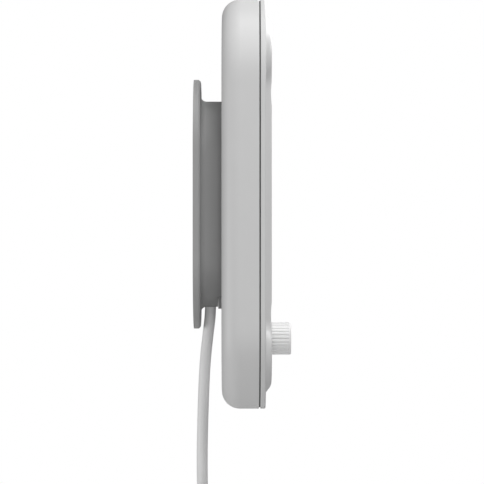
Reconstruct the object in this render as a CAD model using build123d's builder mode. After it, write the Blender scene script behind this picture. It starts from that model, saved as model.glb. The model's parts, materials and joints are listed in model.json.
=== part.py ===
"""Video doorbell: a slim upright casing on a wall bracket, with a camera behind a window at the top, a
speaker in the middle, a knurled push-and-turn knob low on the front, and a power lead out of the
bracket's underside.

Millimetres. +Z is up, the front faces -Y, and the wall is the plane Y = 0. A depth is a distance from
the wall, so a sketch at depth d lies on the plane Y = -d and an extrusion runs on towards the front.
"""

from build123d import *
import math
import os

# ---- Driving dimensions ----
# Casing and front
casing_height = 145.0
casing_width = 60.0
casing_wall = 1.8
casing_back = 9.92  # depth of the rear shell's back face
back_round = 6.4
seam_back = 23.05  # depth where the rear shell ends
seam_front = 23.5  # depth where the front plate starts
seam_round = 0.25
plate_front = 25.35
panel_front = 27.5
fit_gap = 0.1
play = 0.05  # clearance round a part that slides, turns or drops into a hole
overcut = 1.0  # how far a cut runs on past the face that it opens
rooted = 0.5  # how far a post starts inside the wall that it grows from

# Wall bracket
flange_height = 88.2
flange_width = 49.8
flange_depth = 2.5
flange_edge = 0.7
hub_height = 72.8
hub_width = 36.0
hub_wall = 3.0
hub_round = 2.0
hub_foot = 1.0  # fillet where the hub meets the flange
wall_screw_hole = 2.1
wall_screw_top = 26.0
wall_screw_bottom = -18.0

# Heights of the main features
camera_up = 53.8
microphone_up = 35.0
motion_up = 24.0
contacts_up = 4.0
speaker_up = -22.0
knob_up = -47.6
reset_side = 10.0
reset_up = -52.0

# Raised face panel
head_end = 24.2  # radius of each head's outer end, about the casing's own end centre
head_inner = 42.6  # height where each head's inner side runs
head_corner = 10.0
waist_width = 28.0
waist_corner = 5.0
slope_depth = 1.95
slope_run = 2.6
slope_round = 4.0
crease_radius = 30.0
crease_depth = 0.28
crease_up = 38.7

# Window, motion lens, speaker slots
window_width, window_height = 26.0, 14.0
ledge = 1.5  # width of the step that each window rests on
glass_thick = 1.2
motion_width, motion_height = 16.0, 9.0
slot_width, slot_height, slot_pitch, slot_count = 14.0, 1.2, 3.6, 5
microphone_hole = 0.6

# Knob
knob_radius = 5.75
knob_base = 27.1
knob_front = 34.4
knob_rim = 0.75
ridge_count = 28
groove_radius = 0.42
ring_inner, ring_outer = 6.25, 7.45
ring_floor = 26.4
peg_side = 7.0
peg_radius = 0.8
shaft_radius = 3.0

# Boards
board_thick = 1.2
main_board_back = 16.9
main_board_front = main_board_back + board_thick
main_board_width, main_board_height, main_board_up = 46.0, 48.0, 19.0
encoder_board_back = 17.2
encoder_board_front = 18.2
encoder_board_up = -48.9

# Cord
cord_radius = 2.0
cord_exit_depth = 5.9
cord_start_up = -32.5
turn_pitch = 4.1
coil_columns, coil_rows = 3, 3  # turns side by side, and turns on top of each other
coil_outer_turn = 27.6  # radius of the outermost turns
coil_middle = coil_outer_turn - turn_pitch * (coil_rows - 1) / 2
coil_up = -142.0
coil_depth = 3.4 + turn_pitch * (coil_columns - 1) / 2  # depth of the coil's middle plane
coil_thick = turn_pitch * coil_columns + 0.1
coil_band = turn_pitch * coil_rows

os.makedirs("parts", exist_ok=True)


def depth(value):
    """The plane at a depth from the wall, seen from the front: local x is +X and local y is +Z."""
    return Plane.XZ.offset(value)


def stadium(height, width):
    """An upright outline with round ends."""
    SlotOverall(height, width, rotation=90)


def round_rod(points, radii, radius):
    """A solid round rod along straight runs joined by tangent arcs, and its length."""
    with BuildPart() as rod:
        with BuildLine() as route:
            FilletPolyline(*points, radius=radii)
        path = route.wire()
        with BuildSketch(Plane(origin=path @ 0, z_dir=path % 0)):
            Circle(radius)
        sweep(path=path)
    return rod.part, path.length


def bend_radii(points):
    """Bend radius at each inner point: 0.45 of its shorter run over the tangent of half the turn."""
    radii = []
    for before, here, after in zip(points, points[1:], points[2:]):
        into, out = Vector(here) - Vector(before), Vector(after) - Vector(here)
        half_turn = math.radians(into.get_angle(out)) / 2
        radii.append(0.45 * min(into.length, out.length) / math.tan(half_turn))
    return radii


# ---- Wall bracket and what it holds ----
cavity_floor = 2.6
cavity_height = hub_height - 2 * hub_wall
cavity_width = hub_width - 2 * hub_wall
hollow_deep, hollow_rim, hollow_bar = 0.6, 5.0, 14.0  # hollowed areas either side of the back's middle bar
rib_up, rib_width, rib_high = 32.35, 16.0, 1.7
rib_back, rib_front = 7.6, 9.8
stop_side, stop_up, stop_width, stop_high, stop_front = 11.25, -19.75, 8.5, 1.5, 9.6
notch_floor, notch_up, notch_width, notch_high = 8.5, -34.0, 21.6, 16.0
gland_radius, gland_lip, gland_lip_thick = 2.45, 0.35, 0.8
with BuildPart() as wall_bracket:
    with BuildSketch(depth(0)):
        stadium(flange_height, flange_width)
    extrude(amount=flange_depth)
    chamfer(wall_bracket.faces().sort_by(Axis.Y)[0].edges(), flange_edge)
    with BuildSketch(depth(flange_depth)):
        stadium(hub_height, hub_width)
    extrude(amount=casing_back - flange_depth)
    fillet(wall_bracket.edges(Select.LAST).group_by(Axis.Y)[-1], hub_round)
    on_flange = wall_bracket.edges().filter_by_position(Axis.Y, -flange_depth, -flange_depth)
    fillet(on_flange.filter_by(lambda edge: edge.bounding_box().max.X < hub_width / 2 + fit_gap), hub_foot)
    with BuildSketch(depth(0)):
        stadium(flange_height - 2 * hollow_rim, flange_width - 2 * hollow_rim)
        Rectangle(hollow_bar, flange_height, mode=Mode.SUBTRACT)
    extrude(amount=hollow_deep, mode=Mode.SUBTRACT)
    with BuildSketch(depth(cavity_floor)):
        stadium(cavity_height, cavity_width)
    extrude(amount=casing_back - cavity_floor, mode=Mode.SUBTRACT)
    # Rib that the casing's hook goes behind, and the two stops that the latch springs push on
    with BuildSketch(depth(rib_back)):
        with Locations((0, rib_up)):
            Rectangle(rib_width, rib_high)
    extrude(amount=rib_front - rib_back)
    with BuildSketch(depth(cavity_floor)):
        with Locations((-stop_side, stop_up), (stop_side, stop_up)):
            Rectangle(stop_width, stop_high)
    extrude(amount=stop_front - cavity_floor)
    # Two holes for screws into the wall, the gland's hole, and the release tab's notch
    with BuildSketch(depth(0)):
        with Locations((0, wall_screw_top), (0, wall_screw_bottom)):
            Circle(wall_screw_hole)
    extrude(amount=cavity_floor, mode=Mode.SUBTRACT)
    with BuildSketch(Plane.XY.offset(-hub_height / 2 - overcut)):
        with Locations((0, -cord_exit_depth)):
            Circle(gland_radius)
    extrude(amount=hub_wall + 2 * overcut, mode=Mode.SUBTRACT)
    with BuildSketch(depth(notch_floor)):
        with Locations((0, notch_up)):
            Rectangle(notch_width, notch_high)
    extrude(amount=casing_back, mode=Mode.SUBTRACT)

tab_back, tab_front = 8.7, 9.85
tab_half_width, tab_corner = 10.5, 3.0
tab_low, tab_high = -36.9, -25.9
lug_slot_up, lug_slot_width, lug_slot_high = -30.25, 9.2, 3.5
shoulder_up, shoulder_width, shoulder_high = -26.4, 1.2, 3.0
seat_back, seat_width, seat_thick = 6.6, 3.2, 1.2
spring_side, spring_depth, spring_top = 8.2, 8.2, -20.5
spring_radius, spring_wire, spring_spine, spring_turns = 1.2, 0.25, 0.2, 5
with BuildPart() as release_tab:
    with BuildSketch(depth(tab_back)) as tab_outline:
        with Locations((0, (tab_low + tab_high) / 2)):
            Rectangle(2 * tab_half_width, tab_high - tab_low)
        fillet(tab_outline.vertices().group_by(Axis.Y)[0], tab_corner)
        with Locations((0, lug_slot_up)):
            Rectangle(lug_slot_width, lug_slot_high, mode=Mode.SUBTRACT)
        # The upper corners stay inside the bracket's round cavity
        with Locations((-tab_half_width, shoulder_up), (tab_half_width, shoulder_up)):
            Rectangle(shoulder_width, shoulder_high, mode=Mode.SUBTRACT)
    extrude(amount=tab_front - tab_back)
    with BuildSketch(depth(seat_back)):
        with Locations((-spring_side, tab_high - seat_thick / 2), (spring_side, tab_high - seat_thick / 2)):
            Rectangle(seat_width, seat_thick)
    extrude(amount=tab_front - seat_back)

with BuildPart() as latch_springs:
    # A flattened coil on each side, from the tab's seat to the bracket's stop
    spring_run = spring_top - tab_high
    for side in (-spring_side, spring_side):
        for turn in range(spring_turns):
            rise = tab_high + spring_wire + turn * (spring_run - 2 * spring_wire) / (spring_turns - 1)
            with Locations((side, -spring_depth, rise)):
                Torus(spring_radius, spring_wire)
        with Locations((side + spring_radius, -spring_depth, (tab_high + spring_top) / 2)):
            Cylinder(spring_spine, spring_run - 2 * spring_spine)

with BuildPart() as cord_gland:
    with BuildSketch(Plane.XY.offset(-hub_height / 2 + fit_gap)):
        with Locations((0, -cord_exit_depth)):
            Circle(gland_radius)
            Circle(cord_radius, mode=Mode.SUBTRACT)
    extrude(amount=hub_wall - fit_gap)
    with BuildSketch(Plane.XY.offset(-hub_height / 2 + hub_wall)):
        with Locations((0, -cord_exit_depth)):
            Circle(gland_radius + gland_lip)
            Circle(cord_radius, mode=Mode.SUBTRACT)
    extrude(amount=gland_lip_thick)

contact_spots = [(-3.5, contacts_up), (3.5, contacts_up)]
block_front, block_width, block_high, block_corner = 7.5, 12.0, 8.0, 1.0
well_floor, well_radius = 4.0, 0.85
pin_back, pin_radius, pin_point = 4.6, 0.75, 0.2
with BuildPart() as contact_block:
    with BuildSketch(depth(cavity_floor)):
        with Locations((0, contacts_up)):
            RectangleRounded(block_width, block_high, block_corner)
    extrude(amount=block_front - cavity_floor)
    with BuildSketch(depth(well_floor)):
        with Locations(*contact_spots):
            Circle(well_radius)
    extrude(amount=block_front - well_floor, mode=Mode.SUBTRACT)

with BuildPart() as contact_pins:
    with BuildSketch(depth(pin_back)):
        with Locations(*contact_spots):
            Circle(pin_radius)
    extrude(amount=casing_back - pin_back)
    chamfer(contact_pins.faces().sort_by(Axis.Y)[:2].edges(), pin_point)

# ---- Screw places, as (x, z), and screws ----
case_spots = [(-19, 47), (19, 47), (-19, -47), (19, -47)]
main_spots = [(-20, 39), (20, 39), (-20, -1), (20, -1)]
frame_spots = [(-14.8, camera_up), (14.8, camera_up)]
encoder_spots = [(-12.5, -56.5), (12.5, -56.5)]
screw_head, screw_shank = 2.4, 1.25
screw_sunk, screw_taper, screw_length = 0.1, 1.2, 8.0
cross_long, cross_wide, cross_deep = 2.2, 0.5, 0.7
small_head, small_shank, small_head_high = 1.75, 0.85, 1.1
small_cross_long, small_cross_wide, small_cross_deep = 2.0, 0.45, 0.6
small_hole = 1.0

# ---- Casing ----
boss_radius, boss_front = 3.2, 14.0
hook_back, hook_width, hook_up, hook_thick = 5.0, 10.0, 29.5, 2.0
hook_lip_up, hook_lip_high, hook_lip_deep = 31.4, 1.8, 2.2
lug_back, lug_width, lug_up, lug_thick = 7.2, 8.0, -29.45, 1.7
lug_lip_up, lug_lip_high, lug_lip_deep = -28.05, 1.1, 1.3
pad_radius, pad_thick, pad_post = 1.65, 0.8, 0.8
button_radius, button_play = 2.0, 0.15
button_flange, button_flange_thick = 2.8, 0.55
button_out, button_length = 0.2, 2.2
with BuildPart() as rear_shell:
    with BuildSketch(depth(casing_back)):
        stadium(casing_height, casing_width)
    extrude(amount=seam_back - casing_back)
    fillet(rear_shell.faces().sort_by(Axis.Y)[-1].edges(), back_round)
    offset(amount=-casing_wall, openings=rear_shell.faces().sort_by(Axis.Y)[0])
    fillet(rear_shell.faces().sort_by(Axis.Y)[0].outer_wire().edges(), seam_round)
    with BuildSketch(depth(casing_back + casing_wall)):
        with Locations(*case_spots):
            Circle(boss_radius)
    extrude(amount=boss_front - casing_back - casing_wall)
    # Hook over the bracket's rib, and lug that the release tab holds: each is a post with a lip
    with BuildSketch(depth(hook_back)):
        with Locations((0, hook_up)):
            Rectangle(hook_width, hook_thick)
    extrude(amount=casing_back - hook_back + rooted)
    with BuildSketch(depth(hook_back)):
        with Locations((0, hook_lip_up)):
            Rectangle(hook_width, hook_lip_high)
    extrude(amount=hook_lip_deep)
    with BuildSketch(depth(lug_back)):
        with Locations((0, lug_up)):
            Rectangle(lug_width, lug_thick)
    extrude(amount=casing_back - lug_back + rooted)
    with BuildSketch(depth(lug_back)):
        with Locations((0, lug_lip_up)):
            Rectangle(lug_width, lug_lip_high)
    extrude(amount=lug_lip_deep)
    # Holes: screws with sunk heads, contact pads and the reset button
    with Locations(*[Location((x, -casing_back, z), (-90, 0, 0)) for x, z in case_spots]):
        CounterSinkHole(screw_shank + play, screw_head + play, depth=screw_length)
    with BuildSketch(depth(casing_back)):
        with Locations(*contact_spots):
            Circle(pad_radius + play)
        with Locations((reset_side, reset_up)):
            Circle(button_radius + button_play)
    extrude(amount=casing_wall + rooted, mode=Mode.SUBTRACT)

with BuildPart() as contact_pads:
    with BuildSketch(depth(casing_back)):
        with Locations(*contact_spots):
            Circle(pad_radius)
    extrude(amount=pad_thick)
    with BuildSketch(depth(casing_back + pad_thick)):
        with Locations(*contact_spots):
            Circle(pad_post)
    extrude(amount=main_board_back - casing_back - pad_thick)

with BuildPart() as case_screws:
    for x, z in case_spots:
        head_plane = Plane(origin=(x, -casing_back - screw_sunk, z), z_dir=(0, -1, 0))
        shank_plane = head_plane.offset(screw_taper - screw_sunk)
        with BuildSketch(head_plane):
            Circle(screw_head - screw_sunk)
        with BuildSketch(shank_plane):
            Circle(screw_shank)
        loft()
        with BuildSketch(shank_plane):
            Circle(screw_shank)
        extrude(amount=screw_length)
        with BuildSketch(head_plane):
            Rectangle(cross_long, cross_wide)
            Rectangle(cross_wide, cross_long)
        extrude(amount=cross_deep, mode=Mode.SUBTRACT)

gasket_outer, gasket_inner = 0.5, 1.6  # how far in from the casing's side
with BuildPart() as seam_gasket:
    with BuildSketch(depth(seam_back)):
        stadium(casing_height - 2 * gasket_outer, casing_width - 2 * gasket_outer)
        inner_height, inner_width = casing_height - 2 * gasket_inner, casing_width - 2 * gasket_inner
        SlotOverall(inner_height, inner_width, rotation=90, mode=Mode.SUBTRACT)
    extrude(amount=seam_front - seam_back)

with BuildPart() as reset_button:
    with BuildSketch(depth(casing_back - button_out)):
        with Locations((reset_side, reset_up)):
            Circle(button_radius)
    extrude(amount=button_length)
    with BuildSketch(depth(casing_back + casing_wall + 0.03)):
        with Locations((reset_side, reset_up)):
            Circle(button_flange)
    extrude(amount=button_flange_thick)

# ---- Front plate and raised panel ----
window_spot = (0, camera_up)
motion_spot = (0, motion_up)
microphone_spot = (0, microphone_up)
speaker_spot = (0, speaker_up)
knob_spot = (0, knob_up)
peg_spots = [(-peg_side, knob_up), (peg_side, knob_up)]
plate_edge = 0.5
tongue_back, tongue_thick = 21.0, 1.2
tongue_width = casing_width - 2 * casing_wall - 2 * fit_gap
tongue_height = casing_height - 2 * casing_wall - 2 * fit_gap
case_pillar, main_pillar, small_pillar = 3.0, 2.2, 1.9
holder_back, holder_front = 15.2, 20.9
frame_front = 21.9
seal_radius = 4.4
mesh_radius = 12.0
boot_radius = 2.5
with BuildPart() as front_plate:
    with BuildSketch(depth(seam_front)):
        stadium(casing_height, casing_width)
    extrude(amount=plate_front - seam_front)
    fillet(front_plate.faces().sort_by(Axis.Y)[0].edges(), plate_edge)
    fillet(front_plate.faces().sort_by(Axis.Y)[-1].edges(), seam_round)
    # Tongue that goes into the rear shell
    with BuildSketch(depth(tongue_back)):
        stadium(tongue_height, tongue_width)
        inner_height, inner_width = tongue_height - 2 * tongue_thick, tongue_width - 2 * tongue_thick
        SlotOverall(inner_height, inner_width, rotation=90, mode=Mode.SUBTRACT)
    extrude(amount=seam_front - tongue_back)
    # Screw pillars for the casing, main board, camera frame and encoder board
    with BuildSketch(depth(boss_front)):
        with Locations(*case_spots):
            Circle(case_pillar)
            Circle(screw_shank, mode=Mode.SUBTRACT)
    extrude(amount=seam_front - boss_front)
    with BuildSketch(depth(main_board_front)):
        with Locations(*main_spots):
            Circle(main_pillar)
            Circle(small_shank, mode=Mode.SUBTRACT)
    extrude(amount=seam_front - main_board_front)
    with BuildSketch(depth(frame_front)):
        with Locations(*frame_spots):
            Circle(small_pillar)
            Circle(small_shank, mode=Mode.SUBTRACT)
    extrude(amount=seam_front - frame_front)
    with BuildSketch(depth(encoder_board_front)):
        with Locations(*encoder_spots):
            Circle(small_pillar)
            Circle(small_shank, mode=Mode.SUBTRACT)
    extrude(amount=seam_front - encoder_board_front)
    # Openings for what looks or sounds through the plate
    with BuildSketch(depth(seam_front)):
        with Locations(window_spot):
            SlotOverall(window_width - 2, window_height - 2)
        with Locations(motion_spot):
            SlotOverall(motion_width - 1, motion_height - 0.8)
        with Locations(microphone_spot):
            Circle(boot_radius)
        with Locations(speaker_spot):
            Circle(mesh_radius)
        with Locations(knob_spot):
            Circle(seal_radius)
        with Locations(*peg_spots):
            Circle(peg_radius + play)
    extrude(amount=plate_front - seam_front, mode=Mode.SUBTRACT)

with BuildPart() as face_panel:
    with BuildSketch(depth(plate_front)) as outline:
        end = casing_height / 2 - casing_width / 2
        for side in (1, -1):
            with BuildSketch(mode=Mode.PRIVATE) as head:
                with Locations((0, side * end)):
                    Circle(head_end)
                # Square that keeps only what lies beyond the head's inner side
                with Locations((0, side * (head_inner + casing_width))):
                    Rectangle(2 * casing_width, 2 * casing_width, mode=Mode.INTERSECT)
                fillet(head.vertices(), head_corner)
            add(head.sketch)
        Rectangle(waist_width, 2 * head_inner + 4)
        inner = outline.vertices().filter_by(lambda v: abs(abs(v.X) - waist_width / 2) < 0.01)
        fillet(inner, waist_corner)
    extrude(amount=panel_front - plate_front)
    front = face_panel.faces().sort_by(Axis.Y)[0]
    chamfer(front.edges(), slope_run, slope_depth, reference=front)
    fillet(face_panel.faces().sort_by(Axis.Y)[0].edges(), slope_round)
    # Soft crease where each head meets the middle
    for side in (1, -1):
        with BuildSketch(Plane.YZ.offset(-casing_width / 2)):
            with Locations((-panel_front - crease_radius + crease_depth, side * crease_up)):
                Circle(crease_radius)
        extrude(amount=casing_width, mode=Mode.SUBTRACT)
    # Window and motion lens, each on a ledge
    with BuildSketch(depth(panel_front - glass_thick)):
        with Locations(window_spot):
            SlotOverall(window_width, window_height)
        with Locations(motion_spot):
            SlotOverall(motion_width, motion_height)
    extrude(amount=glass_thick + overcut, mode=Mode.SUBTRACT)
    with BuildSketch(depth(plate_front)):
        with Locations(window_spot):
            SlotOverall(window_width - 2 * ledge, window_height - 2 * ledge)
        with Locations(motion_spot):
            SlotOverall(motion_width - 2 * ledge, motion_height - 2 * ledge)
        with Locations(microphone_spot):
            Circle(microphone_hole)
        with GridLocations(slot_width, slot_pitch, 1, slot_count):
            with Locations(speaker_spot):
                SlotOverall(slot_width, slot_height)
        with Locations(knob_spot):
            Circle(shaft_radius + 0.3)
        with Locations(*peg_spots):
            Circle(peg_radius + play)
    extrude(amount=panel_front - plate_front + overcut, mode=Mode.SUBTRACT)
    # Sunk seat for the knob and the light ring round it
    with BuildSketch(depth(ring_floor)):
        with Locations(knob_spot):
            Circle(ring_outer)
    extrude(amount=panel_front - ring_floor + overcut, mode=Mode.SUBTRACT)

glass_edge, lens_edge = 0.15, 0.4
with BuildPart() as camera_window:
    with BuildSketch(depth(panel_front - glass_thick)):
        with Locations(window_spot):
            SlotOverall(window_width - 2 * play, window_height - 2 * play)
    extrude(amount=glass_thick)
    chamfer(camera_window.faces().sort_by(Axis.Y)[0].edges(), glass_edge)

lens_opening = 4.3
led_side, led_rise = 8.2, 2.3
mask_thick, mask_slot_high, mask_slot_wide = 0.2, 7.0, 2.6
with BuildPart() as window_mask:
    with BuildSketch(depth(panel_front - glass_thick - mask_thick)):
        with Locations(window_spot):
            SlotOverall(window_width - 2 * ledge - 2 * play, window_height - 2 * ledge - 2 * play)
            Circle(lens_opening, mode=Mode.SUBTRACT)
        with Locations((-led_side, camera_up), (led_side, camera_up)):
            SlotOverall(mask_slot_high, mask_slot_wide, rotation=90, mode=Mode.SUBTRACT)
    extrude(amount=mask_thick)

with BuildPart() as motion_lens:
    with BuildSketch(depth(panel_front - glass_thick)):
        with Locations(motion_spot):
            SlotOverall(motion_width - 2 * play, motion_height - 2 * play)
    extrude(amount=glass_thick)
    fillet(motion_lens.faces().sort_by(Axis.Y)[0].edges(), lens_edge)

peg_tip = 19.3
with BuildPart() as light_ring:
    with BuildSketch(depth(ring_floor)):
        with Locations(knob_spot):
            Circle(ring_outer - 0.03)
            Circle(ring_inner, mode=Mode.SUBTRACT)
    extrude(amount=panel_front - ring_floor)
    fillet(light_ring.faces().sort_by(Axis.Y)[0].edges(), 0.25)
    with BuildSketch(depth(peg_tip)):
        with Locations(*peg_spots):
            Circle(peg_radius)
    extrude(amount=ring_floor - peg_tip)

# ---- Knob: cap and shaft slide together through a detent wheel that turns with them ----
shaft_tip, key_end = 19.15, 21.6
key_radius, key_flat = 2.2, 1.7
knob_bore = 6.1
dish_radius, dish_depth = 20.0, 0.35
wheel_radius, wheel_thick, wheel_back = 4.6, 1.5, 19.35
detent_radius, detent_out, detent_count = 0.35, 0.15, 24
with BuildPart() as knob_cap:
    with BuildSketch(depth(knob_base)):
        with Locations(knob_spot):
            Circle(knob_radius)
    extrude(amount=knob_front - knob_base)
    fillet(knob_cap.faces().sort_by(Axis.Y)[0].edges(), 0.5)
    with BuildSketch(depth(knob_base)):
        with Locations(knob_spot):
            with PolarLocations(knob_radius + 0.12, ridge_count):
                Circle(groove_radius)
    extrude(amount=knob_front - knob_rim - knob_base, mode=Mode.SUBTRACT)
    with BuildSketch(depth(knob_base)):
        with Locations(knob_spot):
            Circle(shaft_radius - 0.02)
    extrude(amount=knob_bore, mode=Mode.SUBTRACT)
    # Shallow dish in the front face for a fingertip
    with BuildSketch(Plane.YZ):
        with Locations((-knob_front - dish_radius + dish_depth, knob_up)):
            Circle(dish_radius)
            Rectangle(3 * dish_radius, 3 * dish_radius, align=(Align.CENTER, Align.MAX), mode=Mode.SUBTRACT)
    revolve(axis=Axis((0, 0, knob_up), (0, 1, 0)), mode=Mode.SUBTRACT)

with BuildPart() as encoder_shaft:
    with BuildSketch(depth(shaft_tip)):
        with Locations(knob_spot):
            Circle(key_radius)
            Rectangle(2 * key_flat, 4 * key_radius, mode=Mode.INTERSECT)
    extrude(amount=key_end - shaft_tip)
    with BuildSketch(depth(key_end)):
        with Locations(knob_spot):
            Circle(shaft_radius - 0.02)
    extrude(amount=knob_base + knob_bore - key_end)
    chamfer(encoder_shaft.faces().sort_by(Axis.Y)[0].edges(), 0.3)

with BuildPart() as encoder_rotor:
    with BuildSketch(depth(wheel_back)):
        with Locations(knob_spot):
            Circle(wheel_radius)
            with PolarLocations(wheel_radius + detent_out, detent_count):
                Circle(detent_radius, mode=Mode.SUBTRACT)
        with BuildSketch(mode=Mode.PRIVATE) as keyway:
            with Locations(knob_spot):
                Circle(key_radius + play)
                Rectangle(2 * (key_flat + play), 4 * key_radius, mode=Mode.INTERSECT)
        add(keyway.sketch, mode=Mode.SUBTRACT)
    extrude(amount=wheel_thick)

body_side, body_front, body_corner = 12.0, 22.7, 0.6
wheel_room, wheel_roof = 4.85, 21.1
with BuildPart() as encoder_body:
    with BuildSketch(depth(encoder_board_front)):
        with Locations(knob_spot):
            RectangleRounded(body_side, body_side, body_corner)
    extrude(amount=body_front - encoder_board_front)
    with BuildSketch(depth(encoder_board_front)):
        with Locations(knob_spot):
            Circle(wheel_room)
    extrude(amount=wheel_roof - encoder_board_front, mode=Mode.SUBTRACT)
    with BuildSketch(depth(encoder_board_front)):
        with Locations(knob_spot):
            Circle(shaft_radius + play)
    extrude(amount=body_front, mode=Mode.SUBTRACT)

dome_radius, dome_high, dome_round = 2.4, 0.35, 0.3
with BuildPart() as switch_dome:
    with BuildSketch(depth(encoder_board_front)):
        with Locations(knob_spot):
            Circle(dome_radius)
    extrude(amount=dome_high)
    fillet(switch_dome.faces().sort_by(Axis.Y)[0].edges(), dome_round)

with BuildPart() as shaft_seal:
    with BuildSketch(depth(seam_front)):
        with Locations(knob_spot):
            Circle(seal_radius)
            Circle(shaft_radius + 0.03, mode=Mode.SUBTRACT)
    extrude(amount=plate_front - seam_front)

encoder_board_width, encoder_board_height, board_corner = 30.0, 20.6, 3.0
with BuildPart() as encoder_board:
    with BuildSketch(depth(encoder_board_back)):
        with Locations((0, encoder_board_up)):
            RectangleRounded(encoder_board_width, encoder_board_height, board_corner)
        with Locations(*encoder_spots):
            Circle(small_hole, mode=Mode.SUBTRACT)
    extrude(amount=encoder_board_front - encoder_board_back)

led_width, led_high, led_thick, led_out = 1.6, 2.0, 0.8, 0.2
with BuildPart() as status_leds:
    with BuildSketch(depth(encoder_board_front)):
        with Locations((-peg_side - led_out, knob_up), (peg_side + led_out, knob_up)):
            Rectangle(led_width, led_high)
    extrude(amount=led_thick)

switch_side, switch_corner, switch_back = 4.5, 0.3, 13.4
stem_radius, stem_high = 1.2, 0.35
with BuildPart() as reset_switch:
    with BuildSketch(depth(switch_back)):
        with Locations((reset_side, reset_up)):
            RectangleRounded(switch_side, switch_side, switch_corner)
    extrude(amount=encoder_board_back - switch_back)
    with BuildSketch(depth(switch_back - stem_high)):
        with Locations((reset_side, reset_up)):
            Circle(stem_radius)
    extrude(amount=stem_high)

# ---- Camera, from the lens inwards ----
barrel_radius, barrel_bore, barrel_back, barrel_front = 5.0, 2.6, 16.4, 25.9
element_radius, element_seat, element_edge, element_front = 4.0, 24.2, 24.7, 25.6
element_top = 2.0
rear_element_back, rear_element_thick = 17.0, 1.4
with BuildPart() as lens_barrel:
    with BuildSketch(depth(barrel_back)):
        with Locations(window_spot):
            Circle(barrel_radius)
            Circle(barrel_bore, mode=Mode.SUBTRACT)
    extrude(amount=barrel_front - barrel_back)
    chamfer(lens_barrel.faces().sort_by(Axis.Y)[0].edges().sort_by(SortBy.RADIUS)[-1], 0.4)
    with BuildSketch(depth(element_seat)):
        with Locations(window_spot):
            Circle(element_radius)
    extrude(amount=barrel_front - element_seat, mode=Mode.SUBTRACT)

with BuildPart() as front_element:
    with BuildSketch(depth(element_seat)):
        with Locations(window_spot):
            Circle(element_radius - 0.02)
    extrude(amount=element_edge - element_seat)
    with BuildSketch(depth(element_edge)):
        with Locations(window_spot):
            Circle(element_radius - 0.02)
    with BuildSketch(depth(element_front)):
        with Locations(window_spot):
            Circle(element_top)
    loft()

with BuildPart() as rear_element:
    with BuildSketch(depth(rear_element_back)):
        with Locations(window_spot):
            Circle(barrel_bore - 0.02)
    extrude(amount=rear_element_thick)
    fillet(rear_element.edges().filter_by(GeomType.CIRCLE), 0.5)

holder_width, holder_high, holder_corner = 14.0, 13.4, 1.0
with BuildPart() as lens_holder:
    with BuildSketch(depth(holder_back)):
        with Locations(window_spot):
            RectangleRounded(holder_width, holder_high, holder_corner)
    extrude(amount=holder_front - holder_back)
    with BuildSketch(depth(holder_back)):
        with Locations(window_spot):
            Circle(barrel_radius)
    extrude(amount=holder_front, mode=Mode.SUBTRACT)

camera_board_thick, camera_board_width, camera_board_height, camera_board_corner = 1.0, 22.0, 19.0, 1.5
with BuildPart() as camera_board:
    with BuildSketch(depth(holder_back - camera_board_thick)):
        with Locations(window_spot):
            RectangleRounded(camera_board_width, camera_board_height, camera_board_corner)
    extrude(amount=camera_board_thick)

sensor_width, sensor_high, sensor_thick = 7.0, 6.0, 0.9
with BuildPart() as image_sensor:
    with BuildSketch(depth(holder_back)):
        with Locations(window_spot):
            Rectangle(sensor_width, sensor_high)
    extrude(amount=sensor_thick)

frame_width, frame_high, frame_hole = 34.0, 13.4, 5.05
with BuildPart() as camera_frame:
    with BuildSketch(depth(holder_front)):
        with Locations(window_spot):
            SlotOverall(frame_width, frame_high)
            Circle(frame_hole, mode=Mode.SUBTRACT)
        with Locations(*frame_spots):
            Circle(small_hole, mode=Mode.SUBTRACT)
    extrude(amount=frame_front - holder_front)

led_board_width, led_board_high, led_board_thick = 22.0, 12.4, 0.8
with BuildPart() as led_board:
    with BuildSketch(depth(frame_front)):
        with Locations(window_spot):
            RectangleRounded(led_board_width, led_board_high, board_corner)
            Circle(frame_hole, mode=Mode.SUBTRACT)
    extrude(amount=led_board_thick)

infrared_side, infrared_thick, infrared_dome, infrared_dome_high = 2.6, 0.7, 1.0, 0.5
with BuildPart() as infrared_leds:
    led_spots = [(x, camera_up + rise) for x in (-led_side, led_side) for rise in (led_rise, -led_rise)]
    infrared_back = frame_front + led_board_thick
    with BuildSketch(depth(infrared_back)):
        with Locations(*led_spots):
            Rectangle(infrared_side, infrared_side)
    extrude(amount=infrared_thick)
    with BuildSketch(depth(infrared_back + infrared_thick)):
        with Locations(*led_spots):
            Circle(infrared_dome)
    extrude(amount=infrared_dome_high)

# ---- Main board, its parts, and what faces the front ----
with BuildPart() as main_board:
    with BuildSketch(depth(main_board_back)):
        with Locations((0, main_board_up)):
            RectangleRounded(main_board_width, main_board_height, board_corner)
        with Locations(*main_spots):
            Circle(small_hole, mode=Mode.SUBTRACT)
    extrude(amount=board_thick)

with BuildPart() as board_screws:
    # Small pan-head screws, each as (spots, depth of its seat, length under the head)
    rows = [(main_spots, main_board_back, 4.0), (frame_spots, holder_front, 2.2)]
    rows.append((encoder_spots, encoder_board_back, 2.2))
    for spots, seat, length in rows:
        with BuildSketch(depth(seat - small_head_high)):
            with Locations(*spots):
                Circle(small_head)
        extrude(amount=small_head_high)
        with BuildSketch(depth(seat)):
            with Locations(*spots):
                Circle(small_shank)
        extrude(amount=length)
        with BuildSketch(depth(seat - small_head_high)):
            with Locations(*spots):
                Rectangle(small_cross_long, small_cross_wide)
                Rectangle(small_cross_wide, small_cross_long)
        extrude(amount=small_cross_deep, mode=Mode.SUBTRACT)

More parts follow.
